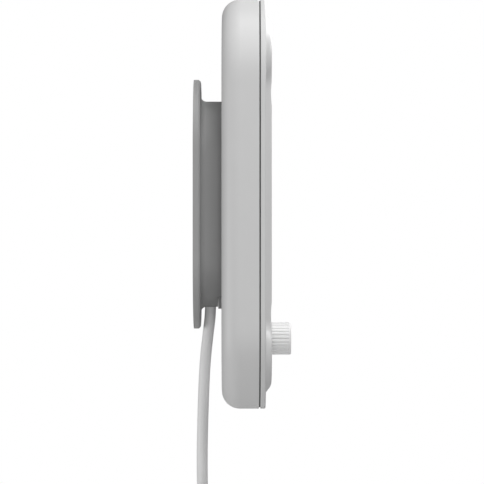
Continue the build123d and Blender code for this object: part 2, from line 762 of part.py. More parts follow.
can_spots = {(-11, 9): (18, 16), (11.5, 8.5): (16, 13)}
can_high, can_sheet, can_corner = 2.0, 0.25, 0.8
with BuildPart() as shield_cans:
    for spot, (wide, high) in can_spots.items():
        with BuildSketch(depth(main_board_front)):
            with Locations(spot):
                RectangleRounded(wide, high, can_corner)
        extrude(amount=can_high)
        with BuildSketch(depth(main_board_front)):
            with Locations(spot):
                RectangleRounded(wide - 2 * can_sheet, high - 2 * can_sheet, can_corner - 0.2)
        extrude(amount=can_high - can_sheet, mode=Mode.SUBTRACT)

with BuildPart() as board_chips:
    # Each chip as its place, its size and its height
    chips = [((-11, 9), (9, 9), 1.0), ((11.5, 8), (8, 6), 0.9), ((15, 30), (6, 5), 0.9)]
    chips += [((-15, 28), (7, 5), 1.2), ((-13, 36), (4, 3), 1.0), ((14, 37), (3, 3), 1.4)]
    for spot, (wide, high), tall in chips:
        with BuildSketch(depth(main_board_front)):
            with Locations(spot):
                Rectangle(wide, high)
        extrude(amount=tall)

battery_up, battery_width, battery_high, battery_thick = 25.5, 34.0, 30.0, 3.6
with BuildPart() as backup_battery:
    with BuildSketch(depth(casing_back + casing_wall)):
        with Locations((0, battery_up)):
            RectangleRounded(battery_width, battery_high, 2)
    extrude(amount=battery_thick)
    fillet(backup_battery.faces().sort_by(Axis.Y)[0].edges(), 1.2)

antenna_up, antenna_width, antenna_high, antenna_thick = 50.0, 30.0, 7.0, 0.8
with BuildPart() as wifi_antenna:
    with BuildSketch(depth(casing_back + casing_wall)):
        with Locations((0, antenna_up)):
            RectangleRounded(antenna_width, antenna_high, 1)
    extrude(amount=antenna_thick)

ribbon_width, ribbon_thick, ribbon_bend = 10.0, 0.2, 1.2
with BuildPart() as camera_ribbon:
    with BuildSketch(Plane.YZ.offset(-ribbon_width / 2)):
        with BuildLine():
            FilletPolyline((-14.1, 51), (-14.1, 43.6), (-16.8, 40.6), (-16.8, 36), radius=ribbon_bend)
        trace(line_width=ribbon_thick)
    extrude(amount=ribbon_width)

sensor_base, sensor_base_high, sensor_can, sensor_can_high = 4.4, 0.5, 3.9, 4.0
with BuildPart() as motion_sensor:
    with BuildSketch(depth(main_board_front)):
        with Locations(motion_spot):
            Circle(sensor_base)
    extrude(amount=sensor_base_high)
    with BuildSketch(depth(main_board_front + sensor_base_high)):
        with Locations(motion_spot):
            Circle(sensor_can)
    extrude(amount=sensor_can_high)
    fillet(motion_sensor.faces().sort_by(Axis.Y)[0].edges(), 0.4)

microphone_width, microphone_high, microphone_thick = 3.5, 2.7, 1.0
boot_bore = 0.8
with BuildPart() as microphone:
    with BuildSketch(depth(main_board_front)):
        with Locations(microphone_spot):
            Rectangle(microphone_width, microphone_high)
    extrude(amount=microphone_thick)

with BuildPart() as microphone_boot:
    with BuildSketch(depth(main_board_front + microphone_thick)):
        with Locations(microphone_spot):
            Circle(boot_radius - play)
            Circle(boot_bore, mode=Mode.SUBTRACT)
    extrude(amount=plate_front - main_board_front - microphone_thick)

# ---- Speaker ----
basket_radius, cone_radius = 14.0, 12.2
basket_back, basket_floor, basket_front = 18.8, 19.8, 22.7
magnet_radius, magnet_back, magnet_edge = 8.0, 15.2, 0.5
with BuildPart() as speaker_frame:
    with BuildSketch(depth(basket_back)):
        with Locations(speaker_spot):
            Circle(basket_radius)
            Circle(magnet_radius, mode=Mode.SUBTRACT)
    extrude(amount=basket_floor - basket_back)
    with BuildSketch(depth(basket_floor)):
        with Locations(speaker_spot):
            Circle(basket_radius)
            Circle(cone_radius, mode=Mode.SUBTRACT)
    extrude(amount=basket_front - basket_floor)

with BuildPart() as speaker_cone:
    # Half section as (-depth, distance from the speaker's axis)
    cone_section = [(-22.6, cone_radius), (-22.3, 10.4), (-20.9, 4.6), (-21.5, 0), (-21.8, 0), (-21.25, 4.8)]
    cone_section += [(-22.7, 10.6), (-22.9, cone_radius)]
    with BuildSketch(Plane.YZ):
        with BuildLine():
            Polyline(*[(y, speaker_up + out) for y, out in cone_section], close=True)
        make_face()
    revolve(axis=Axis((0, 0, speaker_up), (0, 1, 0)))

with BuildPart() as speaker_magnet:
    with BuildSketch(depth(magnet_back)):
        with Locations(speaker_spot):
            Circle(magnet_radius)
    extrude(amount=basket_floor - magnet_back)
    chamfer(speaker_magnet.faces().sort_by(Axis.Y)[-1].edges(), magnet_edge)

gasket_back = 22.9
with BuildPart() as speaker_gasket:
    with BuildSketch(depth(gasket_back)):
        with Locations(speaker_spot):
            Circle(basket_radius)
            Circle(mesh_radius, mode=Mode.SUBTRACT)
    extrude(amount=seam_front - gasket_back)

box_back, box_floor, box_radius = 12.6, 13.8, 15.6
with BuildPart() as speaker_box:
    with BuildSketch(depth(box_back)):
        with Locations(speaker_spot):
            Circle(box_radius)
    extrude(amount=seam_front - box_back)
    with BuildSketch(depth(box_floor)):
        with Locations(speaker_spot):
            Circle(basket_radius)
    extrude(amount=seam_front - box_floor, mode=Mode.SUBTRACT)

mesh_thick = 0.4
with BuildPart() as speaker_mesh:
    with BuildSketch(depth(plate_front - mesh_thick)):
        with Locations(speaker_spot):
            Circle(mesh_radius - 0.1)
    extrude(amount=mesh_thick)

# ---- Power lead ----
# Route of the hanging stretch, as (x, y, z): out of the gland, back to the wall, and aside to the coil
lead_route = [
    (0, -5.9, -32.5), (0, -5.95, -38.5), (0, -5.0, -46), (0, -3.9, -56), (0.2, -3.3, -70), (0.1, -2.9, -86),
    (2.0, -2.9, -98), (8.5, -3.1, -108), (15.5, -3.3, -117.5), (21.6, -3.4, -125.3),
]
lead_radii = bend_radii(lead_route)
cord_solid, lead_length = round_rod(lead_route, lead_radii, cord_radius)
print("lead bends", [round(r, 1) for r in lead_radii], "length", round(lead_length, 1))
print("volume against section", round(cord_solid.volume / (math.pi * cord_radius**2 * lead_length), 4))

tail_route = [
    (19.3, -11.6, -137), (19.5, -12.2, -143.5), (19.2, -14.8, -151), (18.2, -16.2, -159), (17.2, -16.5, -168),
    (16.8, -16.3, -176),
]
tail_radii = bend_radii(tail_route)
tail_solid, tail_length = round_rod(tail_route, tail_radii, cord_radius)
print("tail bends", [round(r, 1) for r in tail_radii], "length", round(tail_length, 1))
print("volume against section", round(tail_solid.volume / (math.pi * cord_radius**2 * tail_length), 4))
coil_length = coil_columns * coil_rows * 2 * math.pi * coil_middle
print("length with the coil's turns", round(lead_length + tail_length + coil_length))

with BuildPart() as cord:
    add(cord_solid)

with BuildPart() as cord_tail:
    add(tail_solid)

coil_corner = 1.9
with BuildPart() as cord_coil:
    with BuildSketch(Plane.YZ):
        with Locations((-coil_depth, coil_up + coil_middle)):
            RectangleRounded(coil_thick, coil_band, coil_corner)
    revolve(axis=Axis((0, 0, coil_up), (0, 1, 0)))

# Strap round the coil's turns, beside the place where the lead joins them
tie_turn = 64  # degrees round from the coil's top
tie_thick, tie_width, tie_corner = 1.2, 8.0, 3.0
with BuildPart() as cord_tie:
    angle = math.radians(tie_turn)
    outward = (math.sin(angle), 0, math.cos(angle))
    along = (math.cos(angle), 0, -math.sin(angle))
    middle = (coil_middle * outward[0], -coil_depth, coil_up + coil_middle * outward[2])
    with BuildSketch(Plane(origin=middle, x_dir=outward, z_dir=along)):
        RectangleRounded(coil_band + 2 * tie_thick, coil_thick + 2 * tie_thick, tie_corner)
    extrude(amount=tie_width / 2, both=True)
    add(cord_coil.part, mode=Mode.SUBTRACT)

# USB-style plug, hanging from the tail with its open end down
plug_at = tail_route[-1]
relief_length, relief_over = 9.0, 3.0  # the relief sleeve, and how much of it is over the cord
relief_top, relief_bottom = 0.35, 1.15  # how much wider than the cord it is at its two ends
slit_first, slit_pitch, slit_high = -1.4, 2.2, 0.8
plug_length, plug_width, plug_deep, plug_corner = 21.0, 15.6, 7.8, 2.2
plug_top_round, plug_end_round = 1.4, 0.5
shell_length, shell_width, shell_deep, shell_thick = 11.8, 12.0, 4.5, 0.3
catch_side, catch_size, catch_below = 2.9, 2.2, 6.2
blade_width, blade_thick, blade_short = 11.2, 1.9, 0.9


def plug_plane(below):
    """Level plane at a distance below the tail's end, with local x along +X."""
    return Plane(origin=(plug_at[0], plug_at[1], plug_at[2] - below), z_dir=(0, 0, -1), x_dir=(1, 0, 0))


with BuildPart() as plug_relief:
    with BuildSketch(plug_plane(-relief_over)):
        Circle(cord_radius + relief_top)
    with BuildSketch(plug_plane(relief_length - relief_over)):
        Circle(cord_radius + relief_bottom)
    loft()
    # Three grooves that let the sleeve bend
    for ring in range(3):
        with BuildSketch(plug_plane(slit_first + slit_pitch * ring)):
            Circle(3 * cord_radius)
            Circle(cord_radius + 0.1 + 0.15 * ring, mode=Mode.SUBTRACT)
        extrude(amount=slit_high, mode=Mode.SUBTRACT)
    with BuildSketch(plug_plane(-relief_over)):
        Circle(cord_radius)
    extrude(amount=relief_over, mode=Mode.SUBTRACT)

with BuildPart() as plug_body:
    with BuildSketch(plug_plane(relief_length - relief_over)):
        RectangleRounded(plug_width, plug_deep, plug_corner)
    extrude(amount=plug_length)
    fillet(plug_body.faces().sort_by(Axis.Z)[-1].edges(), plug_top_round)
    fillet(plug_body.faces().sort_by(Axis.Z)[0].edges(), plug_end_round)

shell_from = relief_length - relief_over + plug_length
with BuildPart() as plug_shell:
    with BuildSketch(plug_plane(shell_from)):
        RectangleRounded(shell_width, shell_deep, shell_thick + 0.2)
        inner_width, inner_deep = shell_width - 2 * shell_thick, shell_deep - 2 * shell_thick
        RectangleRounded(inner_width, inner_deep, shell_thick, mode=Mode.SUBTRACT)
    extrude(amount=shell_length)
    with BuildSketch(plug_plane(shell_from + catch_below)):
        with Locations((-catch_side, 0), (catch_side, 0)):
            Rectangle(catch_size, 2 * shell_deep)
    extrude(amount=catch_size, mode=Mode.SUBTRACT)

with BuildPart() as plug_tongue:
    with BuildSketch(plug_plane(shell_from)):
        with Locations((0, blade_thick / 2)):
            Rectangle(blade_width, blade_thick)
    extrude(amount=shell_length - blade_short)

# Two inner wires from the lead's end, round the lower wall screw, to the contact block
wire_radius = 0.55
wire_solids = []
for side in (-1, 1):
    wire_route = [(side * 0.9, -5.9, cord_start_up + 0.15), (side * 1.6, -5.4, -29.5)]
    wire_route += [(side * 4.6, -4.5, -25.5), (side * 5.3, -4.2, -19), (side * 5.2, -4.3, -10)]
    wire_route += [(side * 4.2, -4.6, -4), (side * 3.6, -4.8, -0.12)]
    wire_solids.append(round_rod(wire_route, bend_radii(wire_route), wire_radius)[0])
with BuildPart() as lead_wires:
    add(wire_solids)

# ---- Written out, one file for each piece ----
pieces = {
    "wall_bracket": wall_bracket, "release_tab": release_tab, "latch_springs": latch_springs,
    "contact_block": contact_block, "contact_pins": contact_pins, "lead_wires": lead_wires,
    "rear_shell": rear_shell, "contact_pads": contact_pads, "case_screws": case_screws,
    "seam_gasket": seam_gasket, "reset_button": reset_button, "reset_switch": reset_switch,
    "front_plate": front_plate, "face_panel": face_panel, "camera_window": camera_window,
    "window_mask": window_mask, "motion_lens": motion_lens, "light_ring": light_ring,
    "knob_cap": knob_cap, "encoder_shaft": encoder_shaft, "encoder_rotor": encoder_rotor,
    "encoder_body": encoder_body, "encoder_board": encoder_board, "switch_dome": switch_dome,
    "shaft_seal": shaft_seal, "status_leds": status_leds, "lens_barrel": lens_barrel,
    "front_element": front_element, "rear_element": rear_element, "lens_holder": lens_holder,
    "camera_board": camera_board, "image_sensor": image_sensor, "camera_frame": camera_frame,
    "led_board": led_board, "infrared_leds": infrared_leds, "main_board": main_board,
    "board_screws": board_screws, "shield_cans": shield_cans, "board_chips": board_chips,
    "backup_battery": backup_battery, "wifi_antenna": wifi_antenna, "camera_ribbon": camera_ribbon,
    "motion_sensor": motion_sensor, "microphone": microphone, "microphone_boot": microphone_boot,
    "speaker_frame": speaker_frame, "speaker_cone": speaker_cone, "speaker_magnet": speaker_magnet,
    "speaker_gasket": speaker_gasket, "speaker_box": speaker_box, "speaker_mesh": speaker_mesh,
    "cord_gland": cord_gland, "cord": cord, "cord_coil": cord_coil, "cord_tail": cord_tail,
    "cord_tie": cord_tie, "plug_relief": plug_relief, "plug_body": plug_body, "plug_shell": plug_shell,
    "plug_tongue": plug_tongue,
}
for name, piece in pieces.items():
    piece.part.label = name
    export_step(piece.part, f"parts/{name}.step")
print(len(pieces), "pieces")
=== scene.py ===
# %% [markdown]
# # A video doorbell on its wall bracket
# The model of the doorbell, with every part at its real size and place, is loaded first as a fixed
# frame. Nothing in it is moved. This lesson adds what makes it look real: the power lead, the studio, a
# finish for every part, and the small pieces that are easier to shape as a mesh.

# %% Load the frame
import json
import math

import bmesh
import bpy
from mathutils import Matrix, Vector


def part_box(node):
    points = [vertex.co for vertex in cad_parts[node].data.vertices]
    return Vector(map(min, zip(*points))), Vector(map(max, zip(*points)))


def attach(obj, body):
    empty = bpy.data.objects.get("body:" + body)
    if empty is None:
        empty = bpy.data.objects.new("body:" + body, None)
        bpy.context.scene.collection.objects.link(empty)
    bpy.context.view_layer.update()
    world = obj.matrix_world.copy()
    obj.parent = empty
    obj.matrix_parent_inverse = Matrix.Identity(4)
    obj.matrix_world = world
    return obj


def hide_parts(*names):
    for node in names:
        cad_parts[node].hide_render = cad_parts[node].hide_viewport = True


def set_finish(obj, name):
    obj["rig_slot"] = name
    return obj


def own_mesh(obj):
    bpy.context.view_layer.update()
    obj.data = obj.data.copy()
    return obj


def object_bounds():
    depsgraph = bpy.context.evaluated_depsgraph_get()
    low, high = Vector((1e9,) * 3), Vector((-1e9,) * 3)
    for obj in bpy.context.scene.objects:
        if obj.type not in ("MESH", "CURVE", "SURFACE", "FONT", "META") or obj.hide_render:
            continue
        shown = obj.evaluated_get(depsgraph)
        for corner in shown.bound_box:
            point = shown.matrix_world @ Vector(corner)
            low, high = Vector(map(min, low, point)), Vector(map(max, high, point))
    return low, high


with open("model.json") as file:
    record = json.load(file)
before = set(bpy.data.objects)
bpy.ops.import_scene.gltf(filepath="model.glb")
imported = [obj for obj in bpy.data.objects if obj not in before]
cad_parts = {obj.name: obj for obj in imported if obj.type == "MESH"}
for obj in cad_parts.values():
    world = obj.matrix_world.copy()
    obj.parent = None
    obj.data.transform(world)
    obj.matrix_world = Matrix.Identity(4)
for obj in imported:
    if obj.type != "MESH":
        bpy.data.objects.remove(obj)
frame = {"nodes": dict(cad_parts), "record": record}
frame_low, frame_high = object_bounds()
nodes = frame["nodes"]
scene = bpy.context.scene
MM = 0.001
print(len(nodes), "parts, box from", frame_low, "to", frame_high)

# %% [markdown]
# ## The camera
# The doorbell is seen square from its left side, from far enough away that its edges stay parallel. A
# long lens does that. Its focal length is worked out from how much of the object's height fills the
# picture.

# %% Camera
sensor_width = 36.0
camera_distance = 0.905
shown_height = 0.1718
aim = Vector((0, -0.01704, -0.0134))


def look_at(thing, spot):
    """Turns a camera or a lamp so that it faces a spot."""
    thing.rotation_euler = (Vector(spot) - thing.location).to_track_quat("-Z", "Y").to_euler()


camera = bpy.data.objects.new("camera", bpy.data.cameras.new("camera"))
scene.collection.objects.link(camera)
camera.data.sensor_width = sensor_width
camera.data.lens = sensor_width * camera_distance / shown_height
camera.location = aim - Vector((camera_distance, 0, 0))
look_at(camera, aim)
scene.camera = camera
print("lens", round(camera.data.lens, 1), "mm")

# %% [markdown]
# ## The power lead
# The lead is one soft round cable. It leaves the gland straight down, is drawn back towards the wall by
# its own weight, and the rest of its length is put away in a tied coil of nine turns. One NURBS spline
# follows the whole of it, because a spline has no kinks where one stretch goes over into the next. The
# hanging stretches are listed points, and the coil's turns are worked out by a loop.

# %% Points of the lead, in millimetres
lead_points = [
    (0, -5.9, -32.5), (0, -5.95, -38.5), (0, -5.0, -46), (0, -3.9, -56), (0.2, -3.3, -70),
    (0.1, -2.9, -86), (2.0, -2.9, -98), (8.5, -3.1, -108), (15.5, -3.3, -117.5), (21.6, -3.4, -125.3),
]
tail_points = [
    (19.3, -11.6, -137), (19.5, -12.2, -143.5), (19.2, -14.8, -151),
    (18.2, -16.2, -159), (17.2, -16.5, -168), (16.8, -16.3, -176),
]
cord_width = 4.0
turn_pitch = 4.1
outer_turn = 27.6
coil_centre = Vector((0, -7.5, -142))
coil_columns, coil_rows = 3, 3
coil_turns = coil_columns * coil_rows
points_per_turn = 24
coil_start, coil_end = math.radians(62), math.radians(66)  # angles round from the coil's top
step_share = 1 / 6  # the part of each turn in which it steps over to the next one's place

# %% [markdown]
# Wound cable keeps its place in the coil for most of a turn and then steps over beside, or on top of,
# the turn before. Every second layer is wound back the other way. The spline cuts a little inside its
# points, so the circle of points is made that much larger than the circle of cable.


# %% Turns of the coil
def place_in_coil(turn):
    """Row from the outside and column from the wall."""
    row, step = divmod(min(turn, coil_turns - 1), coil_columns)
    return Vector((row, step if row % 2 == 0 else coil_columns - 1 - step))


def coil_points():
    """The points of all turns, from where the lead comes in to where the tail leaves."""
    points = []
    count = coil_turns * points_per_turn
    widen = 1 / math.cos(math.pi / points_per_turn) ** 2
    for index in range(count + 1):
        turn, part = divmod(index, points_per_turn)
        stepped = max(0, (part / points_per_turn - 1 + step_share) / step_share)
        row, column = place_in_coil(turn).lerp(place_in_coil(turn + 1), stepped)
        radius = (outer_turn - row * turn_pitch) * widen
        angle = coil_start + index / count * (math.tau * coil_turns + coil_end - coil_start)
        side_step = (1 - column) * turn_pitch
        spot = Vector((radius * math.sin(angle), side_step, radius * math.cos(angle)))
        points.append(coil_centre + spot)
    return points


lead_line = lead_points + coil_points() + tail_points
print(len(lead_line), "points along the lead")

# %% [markdown]
# A tube along a spline is Blender's own curve bevel. The curve is read twice and then put away: once
# bare, for the line that it follows, and once with the bevel, for the tube's mesh. The order of a NURBS
# spline is set after its points, because with too few points Blender lowers it.


# %% A round line as a mesh
def add_object(name, mesh):
    """Puts a finished mesh into the scene."""
    thing = bpy.data.objects.new(name, mesh)
    scene.collection.objects.link(thing)
    return thing


def round_line(name, points, width, resolution=5, sides=5):
    """The line and the tube along one smooth spline. Points and width are in millimetres."""
    curve = bpy.data.curves.new(name, "CURVE")
    curve.dimensions = "3D"
    spline = curve.splines.new("NURBS")
    spline.points.add(len(points) - 1)
    for point, spot in zip(spline.points, points):
        point.co = (*[value * MM for value in spot], 1)
    spline.order_u = 3
    spline.use_endpoint_u = True
    curve.resolution_u = resolution
    carrier = add_object(name, curve)
    bpy.context.view_layer.update()
    line = [point.co.copy() for point in bpy.data.meshes.new_from_object(carrier).vertices]
    curve.bevel_depth = width / 2 * MM
    curve.bevel_resolution = sides
    curve.use_fill_caps = True
    bpy.context.view_layer.update()
    tube = bpy.data.meshes.new_from_object(carrier)
    tube.shade_smooth()
    bpy.data.objects.remove(carrier)
    return line, tube


# %% The lead
lead_path, lead_tube = round_line("power_lead", lead_line, cord_width)
power_lead = add_object("power_lead", lead_tube)
lead_length = sum((end - start).length for start, end in zip(lead_path, lead_path[1:]))
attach(power_lead, "housing")
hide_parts("cord", "cord_coil", "cord_tail")
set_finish(power_lead, "cord_jacket")
print("lead", round(lead_length, 3), "m long")

# %% [markdown]
# ## Shapes from rings
# The strap and the plug are skins over a row of rings. Each ring is a rectangle with round corners,
# which one formula gives: a circle whose sine and cosine are raised to a power.


# %% Rings and skins
def round_box_ring(wide, high, count=96, power=5):
    """A rectangle with round corners. The higher the power, the tighter they are."""
    ring = []
    for index in range(count):
        across, up = math.cos(math.tau * index / count), math.sin(math.tau * index / count)
        across = math.copysign(abs(across) ** (2 / power), across)
        up = math.copysign(abs(up) ** (2 / power), up)
        ring.append(Vector((across * wide / 2, up * high / 2)))
    return ring


def add_shape(name, shape):
    """Puts a worked shape into the scene as a mesh."""
    mesh = bpy.data.meshes.new(name)
    shape.to_mesh(mesh)
    shape.free()
    return add_object(name, mesh)


def skin(name, *rows_of_rings):
    """A closed mesh over each row of rings. Points are in millimetres, as many in each ring."""
    shape = bmesh.new()
    for rings in rows_of_rings:
        rows = [[shape.verts.new(Vector(point) * MM) for point in ring] for ring in rings]
        for low, high in zip(rows, rows[1:]):
            for index, corner in enumerate(low):
                shape.faces.new((corner, low[index - 1], high[index - 1], high[index])).smooth = True
        shape.faces.new(rows[0])
        shape.faces.new(rows[-1])
    bmesh.ops.recalc_face_normals(shape, faces=shape.faces)
    return add_shape(name, shape)


# %% [markdown]
# ## The strap round the coil
# A strip of hook-and-loop tape holds the turns. It starts under its own end, goes once round the
# bundle, and its round tip lies on top of where it began. The path is a ring round the bundle, and the
# last stretch is lifted by the tape's own thickness.

# %% Strap
tie_angle = math.radians(64)
bundle_slack = 0.3
bundle = turn_pitch * coil_rows + bundle_slack
tape_thick, tape_width = 0.95, 8.0
tape_gap = 0.05  # between the tape and its own end on top of it
tape_soft = 0.25  # how far the tape's long edges are rounded
overlap = 17  # points of the ring that the tape goes on for after a full turn
lift_over = 8  # points in which it climbs on top of itself
tip_points = 5  # points over which its end is rounded
tip_blunt = 0.02  # keeps the very end from closing to a point
tape_outward = Vector((math.sin(tie_angle), 0, math.cos(tie_angle)))
tape_along = Vector((math.cos(tie_angle), 0, -math.sin(tie_angle)))
tape_centre = coil_centre + tape_outward * (outer_turn - turn_pitch * (coil_rows - 1) / 2)


def tape_section(wide):
    """Half width and height of each corner of the tape's section."""
    half, soft, thick = wide / 2, min(tape_soft, wide / 4), tape_thick
    upper = [(half, soft), (half, thick - soft), (half - soft, thick)]
    lower = [(half - soft, 0)]
    mirrored = [(-across, up) for across, up in reversed(lower[::-1] + upper)]
    return upper + mirrored + lower


def strap_rings():
    """The tape's section at every step of its way round the bundle."""
    path = round_box_ring(bundle, bundle)
    count = len(path)
    start = count // 8  # the corner between the outer side and the front
    rings = []
    for step in range(count + overlap + 1):
        here, ahead = path[(start + step) % count], path[(start + step + 1) % count]
        run = (ahead - here).normalized()
        normal = Vector((run.y, -run.x))
        lift = min(max((step - count + lift_over) / lift_over, 0), 1)
        lift = lift * lift * (3 - 2 * lift) * (tape_thick + tape_gap)
        tip = max(0, (step - count - overlap + tip_points) / tip_points)
        wide = tape_width * math.sqrt(max(1 - tip * tip, tip_blunt))
        ring = []
        for across, up in tape_section(wide):
            flat = here + normal * (up + lift)
            forward = Vector((0, -flat.y, 0))
            ring.append(tape_centre + tape_outward * flat.x + forward + tape_along * across)
        rings.append(ring)
    return rings


coil_strap = skin("coil_strap", strap_rings())
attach(coil_strap, "housing")
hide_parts("cord_tie")
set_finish(coil_strap, "strap_fabric")
print("strap", len(coil_strap.data.vertices), "vertices")

# %% [markdown]
# ## The plug
# A soft grip is moulded over the plug's metal shell. It narrows towards the strain relief, and five
# shallow channels cross its two broad faces, so that a finger holds it. The rings run down its length,
# and a channel is where their broad sides dip.

# %% Grip of the plug
def box_in_mm(name):
    """The low and the high corner of a part, in millimetres."""
    return [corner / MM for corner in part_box(name)]


grip_low, grip_high = box_in_mm("plug_body")
grip_size = grip_high - grip_low
grip_middle = (grip_high + grip_low) / 2
shoulder, shoulder_narrow = 4.5, 0.22
lip = 0.8
grip_corner = 4.5  # power of its rings
channels, channel_pitch, channel_deep, channel_from = 5, 1.9, 0.42, 6.5
channel_reach, channel_end = 5.6, 6  # half length, and how suddenly a channel ends
channel_round = 0.8  # below 1, the bottom of a channel is flatter than a wave
levels = 90


def grip_ring(down):
    """The ring at a distance below the grip's upper end."""
    narrow = shoulder_narrow * max(0, 1 - down / shoulder) ** 2
    end = max(0, 1 - (grip_size.z - down) / lip)
    shrink = 2 * lip * (1 - math.sqrt(1 - end * end))
    wide = grip_size.x * (1 - narrow) - shrink
    thick = grip_size.y * (1 - narrow) - shrink
    along = (down - channel_from) / channel_pitch
    within = -0.5 < along < channels - 0.5
    wave = max(0, math.cos(math.tau * along)) ** channel_round if within else 0
    ring = []
    for point in round_box_ring(wide, thick, power=grip_corner):
        reach = max(0, 1 - (abs(point.x) / channel_reach) ** channel_end)
        dip = channel_deep * wave * reach
        sunk = point.y - math.copysign(dip, point.y)
        ring.append((grip_middle.x + point.x, grip_middle.y + sunk, grip_high.z - down))
    return ring


plug_grip = skin("plug_grip", [grip_ring(grip_size.z * level / levels) for level in range(levels + 1)])
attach(plug_grip, "housing")
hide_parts("plug_body")
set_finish(plug_grip, "cord_jacket")
print("grip", round(grip_size.x, 1), "x", round(grip_size.y, 1), "x", round(grip_size.z, 1), "mm")

# %% [markdown]
# Inside the shell a plastic tongue carries four gold strips, the outer two longer than the inner two so
# that power meets first. They are thin plates that stand a hair above the tongue.

# %% Contacts of the plug
tongue_low, tongue_high = box_in_mm("plug_tongue")
contact_width, contact_thick, contact_sunk, contact_up = 1.0, 0.12, 0.05, 10.3
contact_lengths = {-3.5: 8.6, -1.0: 7.4, 1.0: 7.4, 3.5: 8.6}


def contact_rings(side, length):
    """The under and upper outline of one strip."""
    tip = tongue_low.z + contact_up - length
    middle = (grip_middle.x + side, tip + length / 2)
    outline = round_box_ring(contact_width, length, count=32, power=8)
    face = tongue_high.y
    return [
        [(middle[0] + point.x, face + rise, middle[1] + point.y) for point in outline]
        for rise in (-contact_sunk, contact_thick - contact_sunk)
    ]


contacts = [contact_rings(side, length) for side, length in contact_lengths.items()]
plug_contacts = skin("plug_contacts", *contacts)
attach(plug_contacts, "housing")
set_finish(plug_contacts, "gold_contact")
print("contacts", len(contacts))

# %% [markdown]
# ## Springs of the release tab
# Two small steel coils push the tab back down. Each is a helix of round wire with a closed turn at both
# ends. When the tab is pressed they shorten towards the bracket.

# %% Latch springs
spring_low, spring_high = box_in_mm("latch_springs")
spring_side, spring_radius, spring_wire = 8.2, 1.2, 0.45
spring_depth = (spring_low.y + spring_high.y) / 2
spring_turns, points_per_coil = 5.5, 14
closed_share, closed_rise = 0.12, 0.04  # of the wire at each end, and of the height that it climbs
spring_reach = (spring_high.z - spring_low.z) - spring_wire


def helix(side):
    """The wire's line from the spring's closed lower end to its closed upper end."""
    points = []
    count = round(spring_turns * points_per_coil)
    for index in range(count + 1):
        turn = math.tau * index / points_per_coil
        along = index / count
        open_share = min(max((along - closed_share) / (1 - 2 * closed_share), 0), 1)
        climb = closed_rise * along + (1 - closed_rise) * open_share
        rise = spring_low.z + spring_wire / 2 + spring_reach * climb
        points.append((
            side + spring_radius * math.cos(turn), spring_depth + spring_radius * math.sin(turn), rise,
        ))
    return points


spring_shape = bmesh.new()
for side in (-spring_side, spring_side):
    spring_shape.from_mesh(round_line("spring", helix(side), spring_wire, resolution=2, sides=2)[1])
tab_springs = add_shape("tab_springs", spring_shape)
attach(tab_springs, "housing")
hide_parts("latch_springs")
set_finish(tab_springs, "bright_metal")
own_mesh(tab_springs)

# %% [markdown]
# ## Inside the camera's lens
# Through the front glass a real lens shows a row of dark rings, each smaller than the one before, which
# catch stray light. They are turned from one stepped profile.

# %% Light baffle
lens_low, lens_high = box_in_mm("lens_barrel")
glass_back = box_in_mm("front_element")[1].y
lens_up = (lens_low.z + lens_high.z) / 2
baffle_gap = 0.25
baffle_steps, baffle_outer, baffle_inner, baffle_rise = 5, 2.5, 1.1, 0.45


def turned(name, profile, centre_up, count=64):
    """A ring turned about the line of sight, from a closed profile of (radius, depth from the wall)."""
    shape = bmesh.new()
    rows = []
    for index in range(count):
        angle = math.tau * index / count
        across, up = math.cos(angle), math.sin(angle)
        rows.append([
            shape.verts.new(Vector((radius * across, -depth, centre_up + radius * up)) * MM)
            for radius, depth in profile
        ])
    for index, row in enumerate(rows):
        before = rows[index - 1]
        for corner, vertex in enumerate(row):
            shape.faces.new((vertex, row[corner - 1], before[corner - 1], before[corner]))
    bmesh.ops.recalc_face_normals(shape, faces=shape.faces)
    return add_shape(name, shape)


baffle_profile = []
for step in range(baffle_steps):
    radius = baffle_outer - (baffle_outer - baffle_inner) * step / (baffle_steps - 1)
    front = -glass_back - baffle_gap - baffle_rise * step
    baffle_profile += [(radius, front), (radius, front - baffle_rise)]
baffle_profile += [(baffle_outer, baffle_profile[-1][1])]
lens_baffle = turned("lens_baffle", baffle_profile, lens_up)
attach(lens_baffle, "housing")
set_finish(lens_baffle, "black_plastic")
print("baffle", baffle_steps, "steps")

# %% [markdown]
# ## Writing a finish as sums
# A finish is easier to read as a sum than as a web of nodes. A small class wraps a socket, and its
# operators add the nodes that work the sum out. Everything else goes through one method that takes a
# node's type, its settings, and what its sockets are given. The sky is written the same way, so the
# method sits in a class of its own that takes any tree.


# %% Sockets as values
class Socket:
    """One number over a surface, which can be used in sums."""

    def __init__(self, tree, link):
        self.tree, self.link = tree, link

    def sum(self, operation, first, second):
        return self.tree.node("ShaderNodeMath", {"operation": operation}, {0: first, 1: second})

    def __add__(self, other):
        return self.sum("ADD", self, other)

    def __radd__(self, other):
        return self.sum("ADD", other, self)

    def __sub__(self, other):
        return self.sum("SUBTRACT", self, other)

    def __rsub__(self, other):
        return self.sum("SUBTRACT", other, self)

    def __mul__(self, other):
        return self.sum("MULTIPLY", self, other)

    def __rmul__(self, other):
        return self.sum("MULTIPLY", other, self)

    def __gt__(self, other):
        return self.sum("GREATER_THAN", self, other)


class Tree:
    """A node tree, and the one way to add nodes to it."""

    def __init__(self, node_tree):
        self.nodes, self.links = node_tree.nodes, node_tree.links

    def node(self, kind, settings=None, inputs=None, output=0):
        made = self.nodes.new(kind)
        for name, value in (settings or {}).items():
            setattr(made, name, value)
        for socket, value in (inputs or {}).items():
            if isinstance(value, Socket):
                self.links.new(value.link, made.inputs[socket])
            else:
                made.inputs[socket].default_value = value
        return Socket(self, made.outputs[output])


print("sums ready")

